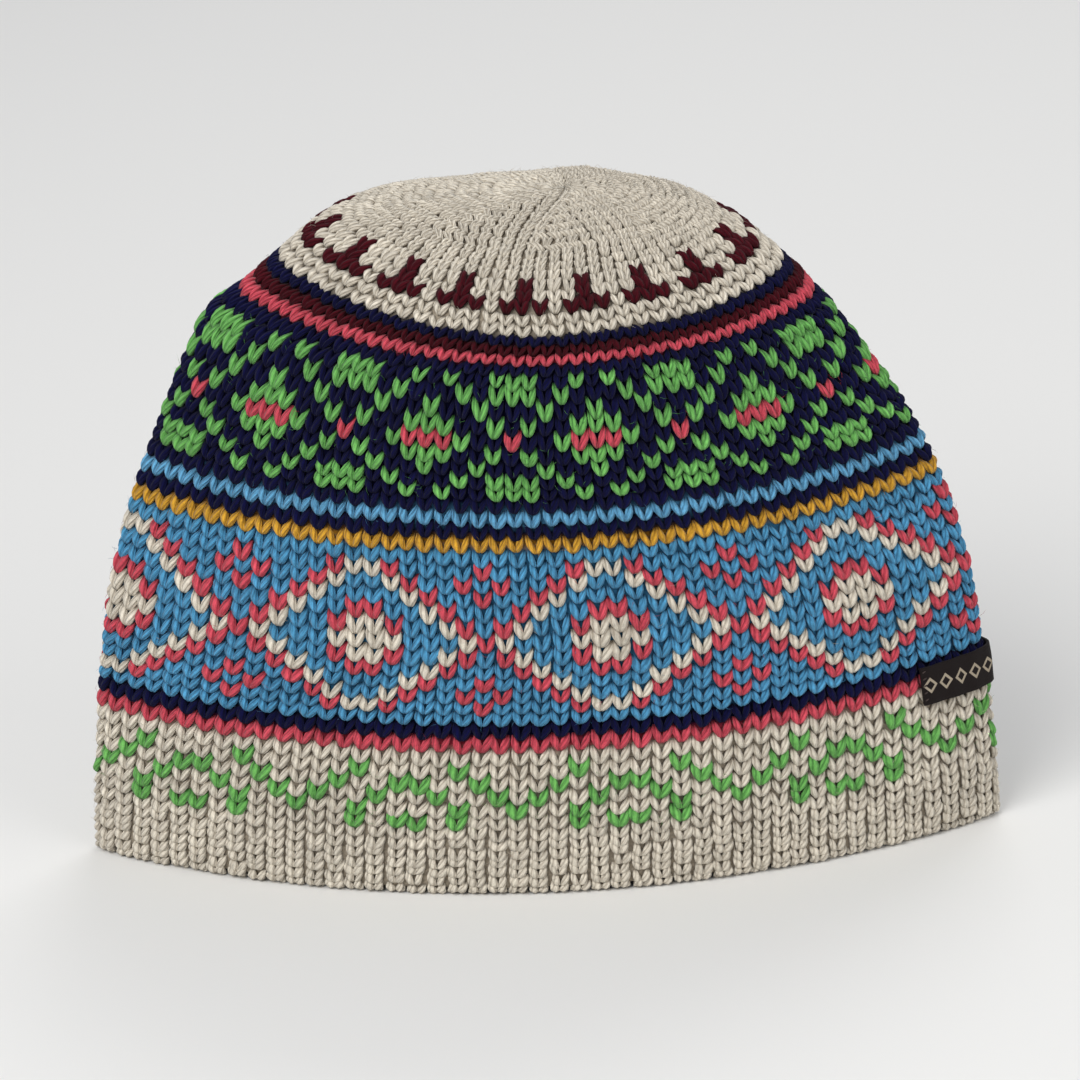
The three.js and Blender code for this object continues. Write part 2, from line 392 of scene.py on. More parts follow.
# The bands of the knitting, from the hem up. A chart is read from the top row down, one letter a stitch.
# frontColumn is the chart's column that stands at the middle of the front. At the back a few columns are
# knitted once more, before the column backFrom, so that the repeats close round the hat.
bands = [
    {"name": "hem_knitting", "from": -1, "chart": ["C"] * 8, "frontColumn": 0},
    {"name": "zigzag_band", "from": 7, "frontColumn": -2, "ground": "C", "bold": 0.14,
     "backFrom": 0, "backExtra": [5, 6, 7, 8, 9, 10], "chart": [
        "GCCCCGCCCCC",
        "CCGGCCGCCCG",
        "CGCCGCCGCGC",
        "GCCCCGCCGCC",
        "GCGGCGCCCCC",
    ]},
    {"name": "lower_stripes", "from": 12, "chart": ["N", "P", "C"], "frontColumn": 0},
    {"name": "sky_band", "from": 15, "frontColumn": 10, "ground": "B",
     "backFrom": 1, "backExtra": [0, 0, 0], "chart": [
        "BBBBBBBBBBBBB",
        "CCPBBBBPBBBBP",
        "BBCPBBPBPBBPC",
        "BBBCPBBPBBPCB",
        "PPBBCPBBBPCBB",
        "CCPBBCPBPCBBP",
        "CCCBBBCPCBBBC",
        "CCPBBCPBPCBBP",
        "PPBBCPBBBPCBB",
        "BBBCPBBPBBPCB",
        "BBCPBBPBPBBPC",
        "CCPBBBBPBBBBP",
        "BBBBBBBBBBBBB",
    ]},
    {"name": "middle_stripes", "from": 28, "chart": ["N", "L", "N", "Y"], "frontColumn": 0},
    {"name": "navy_band", "from": 32, "frontColumn": 1, "ground": "N",
     "backFrom": 2, "backExtra": [2, 9, 0, 1], "chart": [
        "GGNNGNGNNG",
        "GGNGNNNGNG",
        "NNGNNGNNGN",
        "NGNNGGGNNG",
        "PNNGPPPGNN",
        "NGNNGGGNNG",
        "NNGNNGNNGN",
        "GGNGNNNGNG",
        "GGNNGNGNNG",
    ]},
    {"name": "upper_stripes", "from": 41, "chart": ["N", "W", "P", "N"], "frontColumn": 0},
    {"name": "crown_ring", "from": 45, "frontColumn": 1, "ground": "C", "bold": 0.22, "chart": [
        "CWCC",
        "CWCC",
        "WWWC",
        "CCCC",
        "CCCC",
    ]},
    {"name": "crown_top", "from": 50, "chart": ["C"] * 20, "frontColumn": 0},
]

knitRows = bands[-1]["from"] + len(bands[-1]["chart"])


def levelOf(row):
    # The crown's last rows are closer together than the rows of the levels.
    return np.interp(row, [-2, bands[-1]["from"], knitRows], [-2, bands[-1]["from"], lastRow])


knitting = {
    "bodyStitches": 94,
    "wedges": 8,
    "wedgeStitches": 9,
    "crownStart": 45,  # first row with the stitches in wedges
    "wedgeEdge": -1,  # stitches from the middle of the front to a decrease line
    "bodyShift": 0.6,  # stitches that the body's columns stand to the right of the middle of the front
    "crownShift": -0.2,
    "crownPitch": 0.0032,  # width of a stitch where the crown closes
    "rowWave": 0.1,  # rows
    "columnWave": 0.06,  # columns
    "shiftSpread": 0.03,
    "rowSpread": 0.05,
    "sizeSpread": 0.07,
    "liftSpread": 0.00012,
    "leanSpread": 0.04,
    "legSpread": 0.05,
    "shadeSpread": 0.2,
    "ribRowSpread": 2,  # how much more the rows spread where the columns stand out as ribs
    "bold": 0.05,  # how much fuller a stitch in a second yarn is, where its band names none
    "boldLift": 0.0002,
}

# Where the columns stand out as ribs rather than as open V's: rows, and the share of the rib's shape.
ribShares = ([-1, 4, 7.5, 47, 50, 53], [1, 0.8, 0, 0, 0.7, 1])

# How far the columns lean to the right, in stitches, and how far some rows hang low, in rows.
columnLean = ([-1, 8, 21, 32, 36, 41], [-1.2, -1.1, -0.5, -0.8, -0.9, -0.6])
# Places where the columns are pulled aside.
pulls = [
    # row, rows, share, reach, stitches
    [21, 8, -0.105, 0.075, 0.5],
    [48, 5, -0.25, 0.05, -1.0],
    [48, 5, 0.25, 0.06, 1.0],
]
rowSag = ([15, 17, 20, 22, 24, 32, 34, 36, 38, 40], [0, 0.3, 0.5, 0.3, 0, 0, 0.35, 0.5, 0.35, 0])

# One leg of a stitch, in columns across, rows up, metres out, and its half width in columns and half
# thickness in metres.
legShape = np.array([
    # across, up, out, halfWidth, halfThick
    [0.070, -0.10, -0.0003, 0.085, 0.0007],
    [0.120, 0.08, 0.0001, 0.155, 0.0009],
    [0.190, 0.34, 0.0003, 0.208, 0.001],
    [0.270, 0.64, 0.0002, 0.228, 0.001],
    [0.335, 0.93, -0.0002, 0.190, 0.00085],
    [0.395, 1.22, -0.0009, 0.09, 0.0006],
])
# The same leg where the columns stand out as ribs: it keeps to the middle of its column, so a groove is left
# at the column's two sides.
ribShape = np.array([
    [0.115, -0.26, -0.0008, 0.14, 0.0006],
    [0.150, 0.00, 0, 0.200, 0.0009],
    [0.195, 0.30, 0.0002, 0.222, 0.00105],
    [0.235, 0.62, 0.0002, 0.222, 0.00105],
    [0.265, 0.93, 0, 0.200, 0.0009],
    [0.285, 1.24, -0.0008, 0.13, 0.0006],
])
endsPaintedShade = ([0, 1, 3, 4, 5], [0.35, 0.05, 0, 0.2, 0.8])  # sections of a leg, and how much painted shade darkens them where they sink
undersidePaintedShade = 0.4  # painted shade on a leg's underside


def stitchesIn(row):
    # The share of each stitch's middle, and the width of one.
    if row < knitting["crownStart"]:
        count = knitting["bodyStitches"]
        return (np.arange(count) - count // 2 + knitting["bodyShift"]) / count, 1 / count
    fits = lengthOfRow(levelOf(row + 0.5)) / knitting["wedges"] / knitting["crownPitch"]
    if row < bands[-1]["from"]:
        fits = knitting["wedgeStitches"]
    each = int(np.clip(round(float(fits)), 1, knitting["wedgeStitches"]))
    wedgeShare = 1 / knitting["wedges"]
    edge = (knitting["wedgeEdge"] + knitting["crownShift"]) / (knitting["wedgeStitches"] * knitting["wedges"])
    wedge, fromRight = np.divmod(np.arange(each * knitting["wedges"]), each)
    share = edge + (wedge + 1 - (fromRight + 0.5) / each) * wedgeShare
    share -= np.round(share)
    return share, wedgeShare / each


def stitchAbove(row, share):
    # Where each stitch's top goes in the next row: in the crown, counted from its wedge's right-hand line.
    if row < knitting["crownStart"]:
        return share, 1 / len(share)
    above, width = stitchesIn(min(row + 1, knitRows - 1))
    each = len(share) // knitting["wedges"]
    eachAbove = len(above) // knitting["wedges"]
    wedge, fromRight = np.divmod(np.arange(len(share)), each)
    nearest = wedge * eachAbove + np.minimum(fromRight, eachAbove - 1)
    step = above[nearest] - share
    return share + step - np.round(step), width


def chartRow(row):
    # The band that a row lies in, and the row's line of the band's chart.
    band = [item for item in bands if item["from"] <= row][-1]
    return band, band["chart"][len(band["chart"]) - 1 - (row - band["from"])]


def yarnsIn(row, share):
    # The number of each stitch's yarn.
    band, chart = chartRow(row)
    body = row < knitting["crownStart"]
    shift = knitting["bodyShift"] if body else knitting["crownShift"] - 0.5
    count, repeat = len(share), len(chart)
    column = np.round(share * count - shift).astype(int) + band["frontColumn"]
    extra, backFrom = band.get("backExtra", []), band.get("backFrom", 0)
    backEnd = count // 2 + band["frontColumn"] - len(extra)
    back = (backEnd - backFrom) // repeat * repeat + backFrom
    letters = []
    for place in (column - back) % count:
        taken = extra[place] if place < len(extra) else (place - len(extra) + backFrom) % repeat
        letters.append(chart[taken])
    return np.array([yarnKeys.index(letter) for letter in letters])


def groundOf(row):
    # The yarn that the fabric behind a row is made of: its background yarn.
    band, chart = chartRow(row)
    return band.get("ground", chart[0])


def deselect():
    if bpy.context.mode != "OBJECT":
        bpy.ops.object.mode_set(mode="OBJECT")
    bpy.ops.object.select_all(action="DESELECT")


def modelLeg():
    # A six-sided leaf, extruded section by section; its length is along Y.
    deselect()
    bpy.ops.mesh.primitive_circle_add(vertices=6, radius=1, fill_type="NGON", rotation=(math.pi / 2, 0, 0))
    leg = bpy.context.object
    leg.name = "leg_model"
    bpy.ops.object.transform_apply(location=False, rotation=True, scale=True)
    bpy.ops.object.mode_set(mode="EDIT")
    bpy.ops.mesh.select_mode(type="FACE")
    bpy.ops.mesh.select_all(action="SELECT")
    for section in range(1, len(legShape)):
        bpy.ops.mesh.extrude_region_move(TRANSFORM_OT_translate={"value": (0, 1, 0)})
    bpy.ops.mesh.select_all(action="SELECT")
    bpy.ops.mesh.normals_make_consistent(inside=False)
    bpy.ops.object.mode_set(mode="OBJECT")
    return leg


legModel = modelLeg()
legPoints = np.array([vertex.co for vertex in legModel.data.vertices])
legFaces = [list(face.vertices) for face in legModel.data.polygons]
bpy.data.objects.remove(legModel, do_unlink=True)
legSection = np.clip(np.round(legPoints[:, 1]).astype(int), 0, len(legShape) - 1)
legSide = legPoints[:, 0]
legOut = legPoints[:, 2]


def facePaint(points, faces, long):
    # Yarn map of one model: round the section in U, along the yarn in V, split where the section closes.
    spots = []
    for face in faces:
        around = [math.atan2(points[v][2], points[v][0]) / (2 * math.pi) % 1 for v in face]
        if len(face) == 4 and max(around) - min(around) > 0.5:
            around = [value + 1 if value < 0.5 else value for value in around]
        spots += [(value, points[v][1] / long) for value, v in zip(around, face)]
    return np.array(spots)


legPaint = facePaint(legPoints, legFaces, len(legShape) - 1)


def joinedCopies(name, points, faces, paint, copies, yarnOfCopy, shadeOfCopy, paintedShadeOfPoint):
    # Many copies of one small model as one mesh, each with its yarn's material, its shade and its painted
    # shade at each point.
    size = len(points) // copies
    corners = np.array([corner for face in faces for corner in face])
    lengths = np.array([len(face) for face in faces])
    starts = np.concatenate([[0], np.cumsum(lengths)[:-1]])
    mesh = bpy.data.meshes.new(name)
    mesh.vertices.add(size * copies)
    mesh.vertices.foreach_set("co", np.ascontiguousarray(points, dtype=np.float32).ravel())
    mesh.loops.add(len(corners) * copies)
    allCorners = corners[None, :] + np.arange(copies)[:, None] * size
    mesh.loops.foreach_set("vertex_index", allCorners.ravel().astype(np.int32))
    mesh.polygons.add(len(faces) * copies)
    allStarts = starts[None, :] + np.arange(copies)[:, None] * len(corners)
    mesh.polygons.foreach_set("loop_start", allStarts.ravel().astype(np.int32))
    used = sorted(set(yarnOfCopy.tolist()))
    for yarn in used:
        mesh.materials.append(yarnMaterials[yarnKeys[yarn]])
    slots = np.searchsorted(used, yarnOfCopy)
    mesh.polygons.foreach_set("material_index", np.repeat(slots, len(faces)).astype(np.int32))
    mesh.polygons.foreach_set("use_smooth", np.ones(len(faces) * copies, dtype=bool))
    mesh.update(calc_edges=True)
    spots = mesh.uv_layers.new(name="yarn")
    spots.data.foreach_set("uv", np.tile(paint, (copies, 1)).astype(np.float32).ravel())
    for label, values in (("shade", np.repeat(shadeOfCopy, size)), ("painted_shade", paintedShadeOfPoint)):
        mesh.attributes.new(label, "FLOAT", "POINT").data.foreach_set("value", values.astype(np.float32))
    mesh.validate()
    made = bpy.data.objects.new(name, mesh)
    bpy.context.collection.objects.link(made)
    return made


def knitBand(band):
    parts, yarnParts, shadeParts, paintedShadeParts = [], [], [], []
    for number in range(len(band["chart"])):
        row = band["from"] + number
        share, width = stitchesIn(row)
        shareAbove, widthAbove = stitchAbove(row, share)
        yarn = yarnsIn(row, share)
        contrast = yarn != yarnKeys.index(groundOf(row))
        bold = np.where(contrast, band.get("bold", knitting["bold"]), 0)
        count = len(share)
        slip = dice.normal(0, knitting["shiftSpread"], count)
        rib = float(np.interp(row, *ribShares))
        climb = dice.normal(0, knitting["rowSpread"] * (1 + knitting["ribRowSpread"] * rib), count)
        wider = dice.normal(1, knitting["sizeSpread"], count) + bold
        taller = dice.normal(1, knitting["sizeSpread"] / 2, count) + bold
        lift = dice.normal(0, knitting["liftSpread"], count) + np.where(contrast, knitting["boldLift"], 0)
        lean = dice.normal(0, knitting["leanSpread"], count)
        shade = np.clip(dice.normal(0.5, knitting["shadeSpread"], count), 0, 1)
        for hand in (-1, 1):
            own = dice.normal(1, knitting["legSpread"], count)
            shape = legShape[legSection] * (1 - rib) + ribShape[legSection] * rib
            spread, rise, forward, halfWidth, halfThick = shape.T[:, None, :]
            up = rise * taller[:, None] + climb[:, None]
            across = hand * spread * (1 + bold[:, None] / 2) + slip[:, None] + lean[:, None] * up
            across = across + legSide * halfWidth * (wider * own)[:, None]
            out = forward + legOut * halfThick + lift[:, None]
            here = share[:, None] + across * width
            above = shareAbove[:, None] + across * widthAbove
            place = (here + (above - here) * up).ravel()
            level = levelOf(row + up).ravel()
            level = level + knitting["rowWave"] * slowWaves(level, place, 5) * np.clip(level / 4, 0, 1)
            level = level - np.interp(level, *rowSag)
            drift = knitting["columnWave"] * slowWaves(level, place, 8)
            if row < knitting["crownStart"]:
                drift = drift + np.interp(level, *columnLean)
            for pullRow, rows, middle, reach, stitches in pulls:
                near = np.exp(-((level - pullRow) / rows) ** 2 - ((place - middle) / reach) ** 2)
                drift = drift + stitches * near
            place = place + drift * width
            parts.append(onKnit(level, place, out.ravel() - hat["yarnDepth"]))
            yarnParts.append(yarn)
            shadeParts.append(shade)
            # painted shade at the sunk ends and on the undersides of the legs
            ends = np.interp(legSection, *endsPaintedShade) * (1 - rib)
            paintedShadeParts.append(np.tile(ends + undersidePaintedShade * (legOut < -0.3), count))
    copies = sum(len(part) for part in yarnParts)
    made = joinedCopies(band["name"], np.vstack(parts), legFaces, legPaint, copies, np.concatenate(yarnParts),
                        np.concatenate(shadeParts), np.clip(np.concatenate(paintedShadeParts), 0, 1))
    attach(made, "root")
    print("Knitted:", band["name"], "-", copies // 2, "stitches")
    return made


for band in bands:
    knitBand(band)

# The fabric behind the stitches: the looped heads and the floats, which show dark between the legs; their
# ground yarn's colour is darkened with painted shade.
backing = {
    "outer": 0.0017,  # depth of its outer face below the hat's surface
    "thickness": 0.0011,
    "across": 144,
    "up": 88,
    "grain": 1400.0,  # per metre
    "closes": 0.00002,  # points nearer than this at the seam and the pole are one
}


def fabricMaterial():
    made, bench, shader = newMaterial("backing_wool", 0.95, 0.0, 0.1)
    tone = bench.node("ShaderNodeAttribute", {"attribute_name": "ground_tone_with_painted_shade"}).outputs["Color"]
    place = bench.node("ShaderNodeTexCoord").outputs["Object"]
    noise = bench.noise(place, backing["grain"], 2.0)
    dim = bench.maths("ADD", bench.maths("MULTIPLY", noise, 0.8), 0.4)
    bench.feed(shader.inputs["Base Color"], bench.mix(1.0, tone, bench.grey(dim), "MULTIPLY"))
    bump = bench.node("ShaderNodeBump", Strength=0.6, Distance=0.0004, Height=noise)
    bench.feed(shader.inputs["Normal"], bump.outputs["Normal"])
    return made


def knitBacking():
    # A grid laid round the hat below its surface, its seam and its pole closed, with each row's ground tone
    # darkened by painted shade.
    deselect()
    bpy.ops.mesh.primitive_grid_add(x_subdivisions=backing["across"], y_subdivisions=backing["up"], size=1)
    made = bpy.context.object
    made.name = "knit_backing"
    corners = np.array([vertex.co for vertex in made.data.vertices])
    share = corners[:, 0] + 0.5
    row = -1.0 + (corners[:, 1] + 0.5) * (lastRow + 1.0)
    places = onKnit(row, share, np.full(len(row), -backing["outer"]))
    pole = row > lastRow - 1e-6
    places[pole] = places[pole].mean(axis=0)
    made.data.vertices.foreach_set("co", places.astype(np.float32).ravel())
    tones = made.data.color_attributes.new("ground_tone_with_painted_shade", "FLOAT_COLOR", "POINT")
    grounds = [yarns[groundOf(number)] for number in range(lastRow)]
    # painted shade: two parts of the yarn's deep colour to one of its own colour
    shadedBackTone = [np.mean([yarn["deep"], yarn["deep"], yarn["colour"]], axis=0) for yarn in grounds]
    level = np.clip((row - 0.1).astype(int), 0, lastRow - 1)
    tones.data.foreach_set("color", np.array([shadedBackTone[n] for n in level], dtype=np.float32).ravel())
    bpy.ops.object.mode_set(mode="EDIT")
    bpy.ops.mesh.select_all(action="SELECT")
    bpy.ops.mesh.remove_doubles(threshold=backing["closes"])
    bpy.ops.object.mode_set(mode="OBJECT")
    bpy.ops.object.shade_smooth()
    solid = made.modifiers.new("thickness", "SOLIDIFY")
    solid.thickness = backing["thickness"]
    solid.offset = -1
    bpy.ops.object.modifier_apply(modifier=solid.name)
    made.data.materials.append(fabricMaterial())
    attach(made, "root")
    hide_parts("knit_shell")
    return made


knitBacking()
print("Backing laid")

# The wrong side, seen from below: each row shows as a ridge of bumps with the idle yarn carried across.
insideRows = {
    "segments": 192,
    "depth": 0.0039,  # below the hat's outer surface
    "radius": 0.00095,
    "thinner": ([0, 50, 66], [1, 0.9, 0.6]),  # rows, and the share of the radius there
    "wave": 0.0005,  # in and out, once a stitch
    "sway": 0.16,  # up and down, in rows
    "rowHeight": 0.0034,
    "shade": (0.3, 0.7),
    # an even painted shade over the inside rows
    "painted_shade": 0.1,
}


def nearestOf(share, shares):
    # The number of the stitch that each place is nearest to, round the hat.
    gap = share[:, None] - shares[None, :]
    return np.abs(gap - np.round(gap)).argmin(axis=1)


def insideOfHat():
    segments = insideRows["segments"]
    parts, yarnParts, shadeParts = [], [], []
    sectionFaces = [[side, (side + 1) % 4, (side + 1) % 4 + 4, side + 4] for side in range(4)]
    share = np.arange(segments + 1) / segments
    for row in range(1, lastRow - 1):
        shares = stitchesIn(row)[0]
        own = yarnsIn(row, shares)
        turns = 2 * math.pi * len(shares) * share
        radius = insideRows["radius"] * np.interp(row, *insideRows["thinner"])
        ring = []
        for side in range(4):
            angle = side * math.pi / 2 + math.pi / 4
            rise = math.sin(angle) * radius / insideRows["rowHeight"]
            level = row + 0.5 + insideRows["sway"] * np.sin(turns) + rise
            depth = insideRows["depth"] - insideRows["wave"] * np.cos(turns)
            ring.append(onKnit(level, share % 1, math.cos(angle) * radius - depth))
        ring = np.stack(ring, axis=1)
        mine = own[nearestOf(share[:-1], shares)]
        kinds = sorted(set(own.tolist()))
        if len(kinds) > 1:  # the idle yarn is carried across every second bump
            other = {kind: [k for k in kinds if k != kind][0] for kind in kinds}
            mine = np.array([other[kind] if number % 2 else kind for number, kind in enumerate(mine)])
        for segment in range(segments):
            parts.append(np.vstack([ring[segment], ring[segment + 1]]))
        yarnParts.append(mine)
        shadeParts.append(np.repeat(dice.uniform(*insideRows["shade"]), segments))
    yarn = np.concatenate(yarnParts)
    paint = np.array([(side / 4 + (corner in (1, 2)) / 4, (corner in (2, 3)) / 4)
                      for side in range(4) for corner in range(4)])
    made = joinedCopies("inside_rows", np.vstack(parts), sectionFaces, paint, len(yarn), yarn,
                        np.concatenate(shadeParts), np.full(len(yarn) * 8, insideRows["painted_shade"]))
    deselect()
    made.select_set(True)
    bpy.context.view_layer.objects.active = made
    bpy.ops.object.mode_set(mode="EDIT")
    bpy.ops.mesh.select_all(action="SELECT")
    bpy.ops.mesh.remove_doubles(threshold=0.000001)
    bpy.ops.mesh.normals_make_consistent(inside=False)
    bpy.ops.object.mode_set(mode="OBJECT")
    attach(made, "root")
    return made


insideOfHat()
print("Inside rows laid")

# The woven label, folded round the right side edge.
labelStrip = {
    "length": 0.045,
    "front": 0.0254,
    "height": 0.0100,
    "thickness": 0.0008,
    "clearance": 0.0004,
    "row": 12.15,
    "pitch": 0.0037,  # height of a row there
    "faces": (44, 8),
    "ripples": ((0.00012, 40, 0), (0.0001, 17, 5)),  # metres, then waves along and up the label
    "bevel": 0.0002,
    "ground": linear(24, 17, 16),
    "pattern": linear(186, 172, 150),
    "ribs": 90,  # ribs of the weave along the label, and threads across it
    "threads": 24,
    "lozenges": 9.0,
    "lozengeReach": 0.17,
    "lozengeLine": 0.045,
}

sewing = {
    "thread": linear(58, 46, 42),
    "ends": (0.006, 0.994),  # shares of the label's length
    "each": 5,  # stitches at an end
    "long": 0.026,  # share of the label's length
    "slant": 0.04,  # share of its height
    "radius": 0.0002,
    "above": 0.0008,  # over the label's own clearance
}


def labelMaterial():
    made, bench, shader = newMaterial("label_ribbon", 0.8, 0.03, 0.15)
    spot = bench.node("ShaderNodeUVMap", {"uv_map": "weave"}).outputs[0]
    parts = bench.node("ShaderNodeSeparateXYZ", Vector=spot).outputs
    ribs = bench.maths("SINE", bench.maths("MULTIPLY", parts[0], 2 * math.pi * labelStrip["ribs"]))
    threads = bench.maths("SINE", bench.maths("MULTIPLY", parts[1], 2 * math.pi * labelStrip["threads"]))
    weave = bench.maths("MULTIPLY", ribs, threads)
    tone = bench.maths("ADD", bench.maths("MULTIPLY", weave, 0.3), 1.0)
    ground = bench.mix(1.0, labelStrip["ground"], bench.grey(tone), "MULTIPLY")
    # a row of small lozenges in pale thread along the middle
    across = bench.maths("PINGPONG", bench.maths("MULTIPLY_ADD", parts[0], labelStrip["lozenges"], 0.5), 0.5)
    upward = bench.maths("ABSOLUTE", bench.maths("SUBTRACT", parts[1], 0.5))
    reach = bench.maths("ADD", bench.maths("MULTIPLY", across, 0.5), upward)
    fromLine = bench.maths("ABSOLUTE", bench.maths("SUBTRACT", reach, labelStrip["lozengeReach"]))
    lozenge = bench.maths("LESS_THAN", fromLine, labelStrip["lozengeLine"])
    shown = bench.maths("MULTIPLY", lozenge, bench.maths("ADD", 0.75, bench.maths("MULTIPLY", weave, 0.25)))
    bench.feed(shader.inputs["Base Color"], bench.mix(shown, ground, labelStrip["pattern"]))
    height = bench.maths("ADD", bench.maths("MULTIPLY", weave, 0.5), bench.maths("MULTIPLY", lozenge, 0.6))
    bump = bench.node("ShaderNodeBump", Strength=0.5, Distance=0.0002, Height=height)
    bench.feed(shader.inputs["Normal"], bump.outputs["Normal"])
    return made


def onLabel(along, up):
    # A place on the label, from its front end to its back end and from its lower edge to its upper one.
    turns = np.linspace(-1.2, 1.2, 481)  # on both sides of the right side edge
    edge = surfacePoint(np.full(turns.shape, labelStrip["row"]), turns)
    walked = np.concatenate([[0], np.cumsum(np.linalg.norm(np.diff(edge, axis=0), axis=1))])
    place = walked[len(turns) // 2] + along * labelStrip["length"] - labelStrip["front"]
    turn = np.interp(place, walked, turns)
    shares = np.linspace(0.02, 0.48, 461)  # of the row's right half
    share = np.interp(turn, turnAt(np.full(shares.shape, float(labelStrip["row"])), shares), shares)
    return labelStrip["row"] + up * labelStrip["height"] / labelStrip["pitch"], share


def sewingStitches():
    # Short dark stitches that hold the label's two ends.
    deselect()
    made = []
    above = np.full(2, labelStrip["clearance"] + sewing["above"])
    each, radius = sewing["each"], sewing["radius"]
    ends = [(end, (number + 0.7) / (each + 0.4)) for end in sewing["ends"] for number in range(each)]
    for along, up in ends:
        inner = along + (sewing["long"] if along < 0.5 else -sewing["long"])
        rows, shares = onLabel(np.array([along, inner]), np.array([up, up + sewing["slant"]]))
        near, far = (Vector(place) for place in onKnit(rows, shares, above))
        middle = (near + far) / 2
        bpy.ops.mesh.primitive_uv_sphere_add(segments=8, ring_count=6, radius=radius, location=middle)
        stitch = bpy.context.object
        stitch.scale.z = (far - near).length / radius / 2
        stitch.rotation_euler = (far - near).to_track_quat("Z", "Y").to_euler()
        made.append(stitch)
    for stitch in made:
        stitch.select_set(True)
    bpy.context.view_layer.objects.active = made[0]
    bpy.ops.object.join()
    joined = bpy.context.object
    joined.name = "label_stitches"
    bpy.ops.object.transform_apply(location=True, rotation=True, scale=True)
    bpy.ops.object.shade_smooth()
    thread, bench, shader = newMaterial("sewing_thread", 0.6, 0.1, 0.25)
    shader.inputs["Base Color"].default_value = sewing["thread"]
    joined.data.materials.append(thread)
    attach(joined, "root")
    return joined


def wovenLabel():
    deselect()
    facesAlong, facesUp = labelStrip["faces"]
    bpy.ops.mesh.primitive_grid_add(x_subdivisions=facesAlong, y_subdivisions=facesUp, size=1)
    made = bpy.context.object
    made.name = "woven_label"
    corners = np.array([vertex.co for vertex in made.data.vertices])
    spots = made.data.uv_layers.new(name="weave")
    loops = np.array([loop.vertex_index for loop in made.data.loops])
    spots.data.foreach_set("uv", (corners[loops, :2] + 0.5).astype(np.float32).ravel())
    ripple = np.zeros(len(corners))
    for high, along, up in labelStrip["ripples"]:
        ripple += high * np.sin(corners[:, 0] * along + corners[:, 1] * up)
    row, share = onLabel(corners[:, 0] + 0.5, corners[:, 1] + 0.5)
    places = onKnit(row, share, labelStrip["clearance"] + ripple)
    made.data.vertices.foreach_set("co", places.astype(np.float32).ravel())
    solid = made.modifiers.new("thickness", "SOLIDIFY")
    solid.thickness = labelStrip["thickness"]
    solid.offset = 1
    bpy.ops.object.modifier_apply(modifier=solid.name)
    edge = made.modifiers.new("edge", "BEVEL")
    edge.width = labelStrip["bevel"]
    edge.segments = 2
    edge.limit_method = "ANGLE"
    bpy.ops.object.modifier_apply(modifier=edge.name)
    bpy.ops.object.shade_smooth_by_angle(angle=math.radians(40))
    made.data.materials.append(labelMaterial())
    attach(made, "root")
    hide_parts("label")
    return made


wovenLabel()
sewingStitches()
print("Label sewn on")

# Loose fibres that stand off the yarn.
fibres = {
    "count": 8600,
    "length": 0.0023,
    "lengths": (0.4, 1.3),  # shares of the length
    "rise": (0.15, 0.6),  # how steeply they leave the yarn
    "radius": 0.00004,
    "root": 0.0002,  # below the hat's surface
}


def looseFibres():
    count = fibres["count"]
    row = dice.uniform(0.0, lastRow - 1.5, count)
    share = dice.uniform(0, 1, count)
    keep = dice.uniform(0, 1, count) < lengthOfRow(row) / rowLengths.max()
    row, share = row[keep], share[keep]
    count = len(row)
    root = onKnit(row, share, np.full(count, -fibres["root"]))
    square = onKnit(row, share, np.full(count, 0.001)) - root
    square /= np.linalg.norm(square, axis=1, keepdims=True)
    stray = dice.normal(0, 1, (count, 3))
    stray -= square * (stray * square).sum(axis=1, keepdims=True)
    stray /= np.linalg.norm(stray, axis=1, keepdims=True)
    side = np.cross(square, stray)
    length = fibres["length"] * dice.uniform(*fibres["lengths"], count)[:, None]
    rise = dice.uniform(*fibres["rise"], count)[:, None]
    bend = dice.uniform(0.3, 1.2, count)[:, None]
    knee = root + length * 0.5 * (stray * 0.8 + square * rise)
    tip = root + length * (stray * 0.85 + square * rise * bend + side * 0.2)
    thin = fibres["radius"]
    corners = []
    for middle in (root, knee):
        for number in range(3):
            angle = 2 * math.pi * number / 3
            corners.append(middle + thin * (square * math.cos(angle) + side * math.sin(angle)))
    corners.append(tip)
    points = np.stack(corners, axis=1).reshape(-1, 3)
    points[:, 2] = np.maximum(points[:, 2], hat["lowest"])
    faces = [[2, 1, 0], [0, 1, 4, 3], [1, 2, 5, 4], [2, 0, 3, 5], [3, 4, 6], [4, 5, 6], [5, 3, 6]]
    paint = np.zeros((sum(len(face) for face in faces), 2))
    yarn = np.zeros(count, dtype=int)
    for number in range(lastRow):
        these = np.flatnonzero(row.astype(int) == number)
        shares = stitchesIn(number)[0]
        yarn[these] = yarnsIn(number, shares)[nearestOf(share[these], shares)]
    made = joinedCopies("loose_fibres", points, faces, paint, count, yarn, dice.uniform(0.5, 1, count),
                        np.zeros(count * 7))
    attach(made, "root")
    return made


looseFibres()
print("Loose fibres added")

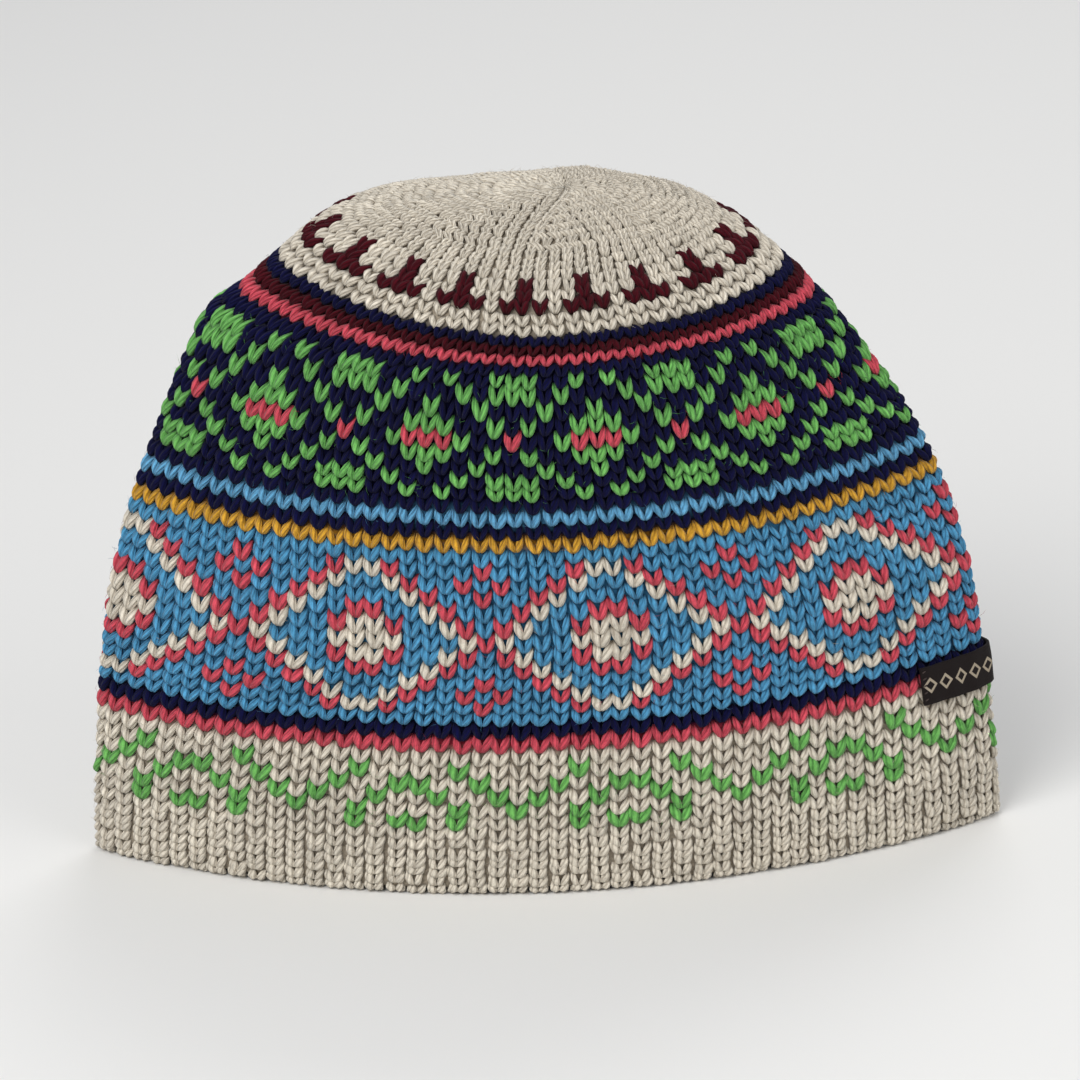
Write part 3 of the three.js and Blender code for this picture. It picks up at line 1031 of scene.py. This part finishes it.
# Floor, light and camera.
stage = {
    "floor": 6.0,
    "floorColour": linear(232, 231, 228),
    "sky": (0.93, 0.95, 1.0, 1.0),
    "skyStrength": 0.41,
    "lamps": (
        # name, place, size, watts
        ("key", (-0.7, -1.1, 1.3), 1.0, 22.0),
        ("fill", (1.1, -0.9, 0.7), 1.2, 7.0),
        ("back", (0.3, 1.0, 1.2), 0.8, 6.0),
    ),
    "cameraElevation": math.radians(20),
    "cameraYaw": math.radians(0.18),
    "cameraRoll": math.radians(2.18),
    "cameraDistance": 1.5,
    "aim": (0.00084, 0.0, 0.0816),
    "metresPerPixel": 0.00025965,
    "picture": 1080,
}


def setStage():
    deselect()
    bpy.ops.mesh.primitive_plane_add(size=stage["floor"], location=(0, 0, 0))
    floor = bpy.context.object
    floor.name = "floor"
    made, bench, shader = newMaterial("pale_floor", 0.75)
    shader.inputs["Base Color"].default_value = stage["floorColour"]
    floor.data.materials.append(made)
    world = bpy.data.worlds.new("soft_sky")
    world.use_nodes = True
    world.node_tree.nodes["Background"].inputs["Color"].default_value = stage["sky"]
    world.node_tree.nodes["Background"].inputs["Strength"].default_value = stage["skyStrength"]
    bpy.context.scene.world = world
    for name, place, size, watts in stage["lamps"]:
        bpy.ops.object.light_add(type="AREA", location=place)
        lamp = bpy.context.object
        lamp.name = name + "_light"
        lamp.data.size = size
        lamp.data.energy = watts
        lamp.rotation_euler = (Vector(stage["aim"]) - Vector(place)).to_track_quat("-Z", "Y").to_euler()


def setCamera():
    elevation, yaw, roll = stage["cameraElevation"], stage["cameraYaw"], stage["cameraRoll"]
    level = math.cos(elevation)
    forward = Vector((math.sin(yaw) * level, math.cos(yaw) * level, -math.sin(elevation)))
    right = Vector((math.cos(yaw), -math.sin(yaw), 0))
    up = right.cross(forward)
    tiltedRight = right * math.cos(roll) - up * math.sin(roll)
    tiltedUp = right * math.sin(roll) + up * math.cos(roll)
    bpy.ops.object.camera_add(location=(0, 0, 0))
    camera = bpy.context.object
    camera.name = "photo_camera"
    turned = Matrix((tiltedRight, tiltedUp, -forward)).transposed().to_4x4()
    turned.translation = Vector(stage["aim"]) - forward * stage["cameraDistance"]
    camera.matrix_world = turned
    camera.data.sensor_width = 36
    across = stage["picture"] * stage["metresPerPixel"]
    camera.data.lens = camera.data.sensor_width * stage["cameraDistance"] / across
    bpy.context.scene.camera = camera


setStage()
setCamera()
bpy.context.scene.view_settings.view_transform = "Standard"
deselect()
print("Stage and camera set")
